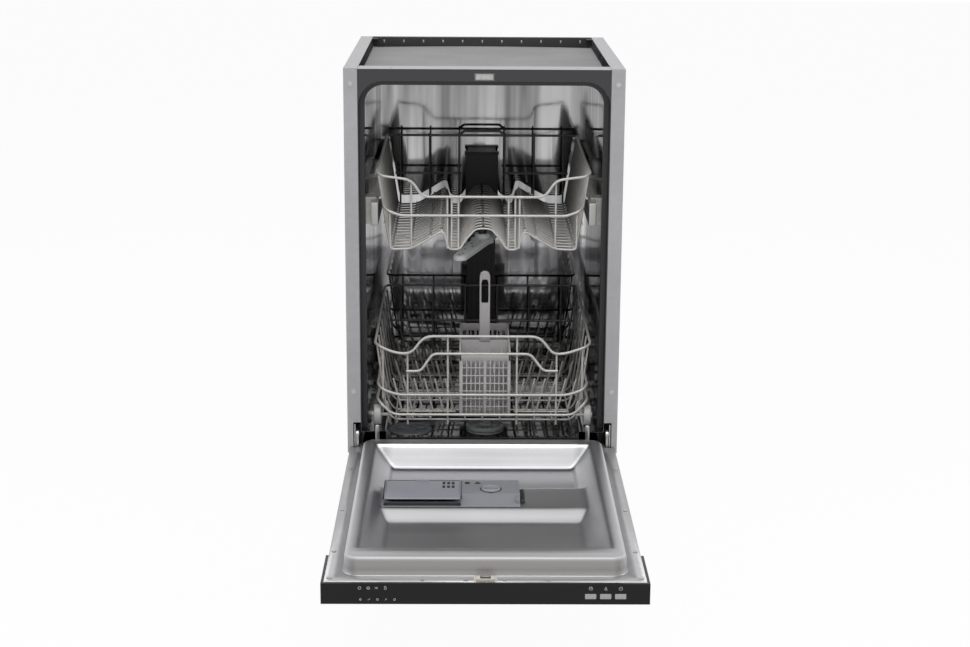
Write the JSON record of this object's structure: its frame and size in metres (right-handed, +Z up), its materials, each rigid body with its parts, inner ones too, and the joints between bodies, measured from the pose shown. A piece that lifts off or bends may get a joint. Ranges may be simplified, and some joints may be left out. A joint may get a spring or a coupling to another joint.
{
  "type": "built-in slim dishwasher",
  "caption": "Slim built-in dishwasher with a drop-down door, two pull-out wire baskets, spray arms and hidden push buttons.",
  "frame": {"origin": "middle of the footprint of the open machine, on the floor", "axes": "+Z up, the door opens towards -Y, +X to the right seen from the front"},
  "size_m": [0.448, 1.1146, 0.815],
  "materials": {
    "galvanised_steel": "galvanised sheet, satin",
    "stainless_steel": "brushed, bright",
    "door_steel": "brushed, bright",
    "black_plastic": "matt moulded",
    "black_rubber": "soft, slight sheen",
    "bitumen_felt": "matt felt",
    "plated_steel": "zinc plated",
    "grey_plastic": "fine moulded grain",
    "pale_plastic": "fine moulded grain",
    "gloss_black": "gloss",
    "button_grey": "satin",
    "circuit_board": "lacquered",
    "coated_wire": "smooth grey coat"
  },
  "bodies": {
    "cabinet": {"side_panel_left": "galvanised_steel", "side_panel_right": "galvanised_steel", "base_tray": "black_plastic", "base_front_cover": "black_plastic", "rear_cover": "galvanised_steel", "rear_crossbar": "black_plastic", "front_crossbar": "galvanised_steel", "tub": "stainless_steel", "top_insulation": "bitumen_felt", "side_insulation": "bitumen_felt", "door_gasket": "black_rubber", "bottom_seal": "black_rubber", "striker_plate": "plated_steel", "sump": "black_plastic", "wash_pump": "grey_plastic", "drain_pump": "black_plastic", "heater": "plated_steel", "salt_tank": "pale_plastic", "inlet_valve": "pale_plastic", "cable_gland": "black_plastic", "air_break": "pale_plastic", "feed_duct": "black_plastic", "filter_plate": "stainless_steel", "hinge_brackets": "plated_steel", "panel_screws": "plated_steel", "rail_guides": "grey_plastic"},
    "door": {"door_liner": "door_steel", "door_outer_panel": "galvanised_steel", "control_panel": "gloss_black", "control_board": "circuit_board", "latch_housing": "pale_plastic", "dispenser_body": "grey_plastic", "door_insulation": "bitumen_felt", "hinge_arms": "plated_steel", "door_screws": "plated_steel"},
    "latch_catch": {"latch_catch": "plated_steel"},
    "dispenser_lid": {"dispenser_lid": "grey_plastic"},
    "rinse_cap": {"rinse_cap": "grey_plastic"},
    "button_left": {"button_left": "button_grey"},
    "button_middle": {"button_middle": "button_grey"},
    "button_right": {"button_right": "button_grey"},
    "rails": {"upper_rails": "plated_steel", "rail_end_caps": "grey_plastic"},
    "upper_basket": {"upper_basket_frame": "coated_wire", "upper_feed_tube": "black_plastic"},
    "upper_spray_arm": {"upper_spray_arm": "grey_plastic"},
    "lower_basket": {"lower_basket_frame": "coated_wire", "plate_tines": "coated_wire", "cutlery_basket": "pale_plastic"},
    "lower_spray_arm": {"lower_spray_arm": "grey_plastic"},
    "filter_cylinder": {"filter_cylinder": "grey_plastic"},
    "salt_cap": {"salt_cap": "grey_plastic"},
    "wheel_front_left": {"wheel_front_left": "grey_plastic"},
    "wheel_front_right": {"wheel_front_right": "grey_plastic"},
    "wheel_rear_left": {"wheel_rear_left": "grey_plastic"},
    "wheel_rear_right": {"wheel_rear_right": "grey_plastic"},
    "foot_front_left": {"foot_front_left": "black_plastic"},
    "foot_front_right": {"foot_front_right": "black_plastic"},
    "foot_rear_left": {"foot_rear_left": "black_plastic"},
    "foot_rear_right": {"foot_rear_right": "black_plastic"}
  },
  "joints": [
    {"name": "door_hinge", "type": "hinge", "parent": "cabinet", "child": "door", "pos_m": [0, 0.04975, 0.205], "axis": [1, 0, 0], "range_deg": [-90, 0]},
    {"name": "upper_basket_slide", "type": "slide", "parent": "cabinet", "child": "upper_basket", "axis": [0, -1, 0], "range_m": [0, 0.36]},
    {"name": "rails_slide", "type": "slide", "parent": "cabinet", "child": "rails", "axis": [0, -1, 0], "range_m": [0, 0.18]},
    {"name": "lower_basket_slide", "type": "slide", "parent": "cabinet", "child": "lower_basket", "axis": [0, -1, 0], "range_m": [0, 0.4]},
    {"name": "upper_spray_arm_spin", "type": "hinge", "parent": "upper_basket", "child": "upper_spray_arm", "pos_m": [0, 0.27725, 0.49], "axis": [0, 0, 1], "continuous": true},
    {"name": "lower_spray_arm_spin", "type": "hinge", "parent": "cabinet", "child": "lower_spray_arm", "pos_m": [0, 0.28725, 0.21], "axis": [0, 0, 1], "continuous": true},
    {"name": "dispenser_lid_hinge", "type": "hinge", "parent": "door", "child": "dispenser_lid", "pos_m": [-0.09288, -0.18125, 0.2015], "axis": [1, 0, 0], "range_deg": [-100, 0]},
    {"name": "rinse_cap_turn", "type": "hinge", "parent": "door", "child": "rinse_cap", "pos_m": [0.011, -0.22125, 0.203], "axis": [0, 0, 1], "range_deg": [0, 90]},
    {"name": "latch_catch_tilt", "type": "hinge", "parent": "door", "child": "latch_catch", "pos_m": [0, -0.54665, 0.1905], "axis": [1, 0, 0], "range_deg": [0, 10], "stiffness_Nm_per_rad": 0.05, "springref_deg": -2.86},
    {"name": "filter_turn", "type": "hinge", "parent": "cabinet", "child": "filter_cylinder", "pos_m": [0.005, 0.13725, 0.15], "axis": [0, 0, 1], "range_deg": [0, 45]},
    {"name": "salt_cap_turn", "type": "hinge", "parent": "cabinet", "child": "salt_cap", "pos_m": [-0.122, 0.10625, 0.19], "axis": [0, 0, 1], "range_deg": [0, 360]},
    {"name": "button_left_press", "type": "slide", "parent": "door", "child": "button_left", "axis": [0, 1, 0], "range_m": [0, 0.0015], "stiffness_N_per_m": 800, "springref_m": -0.0005},
    {"name": "button_middle_press", "type": "slide", "parent": "door", "child": "button_middle", "axis": [0, 1, 0], "range_m": [0, 0.0015], "stiffness_N_per_m": 800, "springref_m": -0.0005},
    {"name": "button_right_press", "type": "slide", "parent": "door", "child": "button_right", "axis": [0, 1, 0], "range_m": [0, 0.0015], "stiffness_N_per_m": 800, "springref_m": -0.0005},
    {"name": "wheel_front_left_spin", "type": "hinge", "parent": "lower_basket", "child": "wheel_front_left", "pos_m": [-0.176, 0.07825, 0.231], "axis": [1, 0, 0], "continuous": true},
    {"name": "wheel_front_right_spin", "type": "hinge", "parent": "lower_basket", "child": "wheel_front_right", "pos_m": [0.176, 0.07825, 0.231], "axis": [1, 0, 0], "continuous": true},
    {"name": "wheel_rear_left_spin", "type": "hinge", "parent": "lower_basket", "child": "wheel_rear_left", "pos_m": [-0.176, 0.46325, 0.231], "axis": [1, 0, 0], "continuous": true},
    {"name": "wheel_rear_right_spin", "type": "hinge", "parent": "lower_basket", "child": "wheel_rear_right", "pos_m": [0.176, 0.46325, 0.231], "axis": [1, 0, 0], "continuous": true},
    {"name": "foot_front_left_screw", "type": "slide", "parent": "cabinet", "child": "foot_front_left", "axis": [0, 0, -1], "range_m": [0, 0.06]},
    {"name": "foot_front_right_screw", "type": "slide", "parent": "cabinet", "child": "foot_front_right", "axis": [0, 0, -1], "range_m": [0, 0.06]},
    {"name": "foot_rear_left_screw", "type": "slide", "parent": "cabinet", "child": "foot_rear_left", "axis": [0, 0, -1], "range_m": [0, 0.06]},
    {"name": "foot_rear_right_screw", "type": "slide", "parent": "cabinet", "child": "foot_rear_right", "axis": [0, 0, -1], "range_m": [0, 0.06]}
  ],
  "couplings": [
    {"joint": "rails_slide", "follows": "upper_basket_slide", "ratio": 0.5},
    {"joint": "wheel_front_left_spin", "follows": "lower_basket_slide", "rad_per_m": 58.824},
    {"joint": "wheel_front_right_spin", "follows": "lower_basket_slide", "rad_per_m": 58.824},
    {"joint": "wheel_rear_left_spin", "follows": "lower_basket_slide", "rad_per_m": 58.824},
    {"joint": "wheel_rear_right_spin", "follows": "lower_basket_slide", "rad_per_m": 58.824}
  ]
}
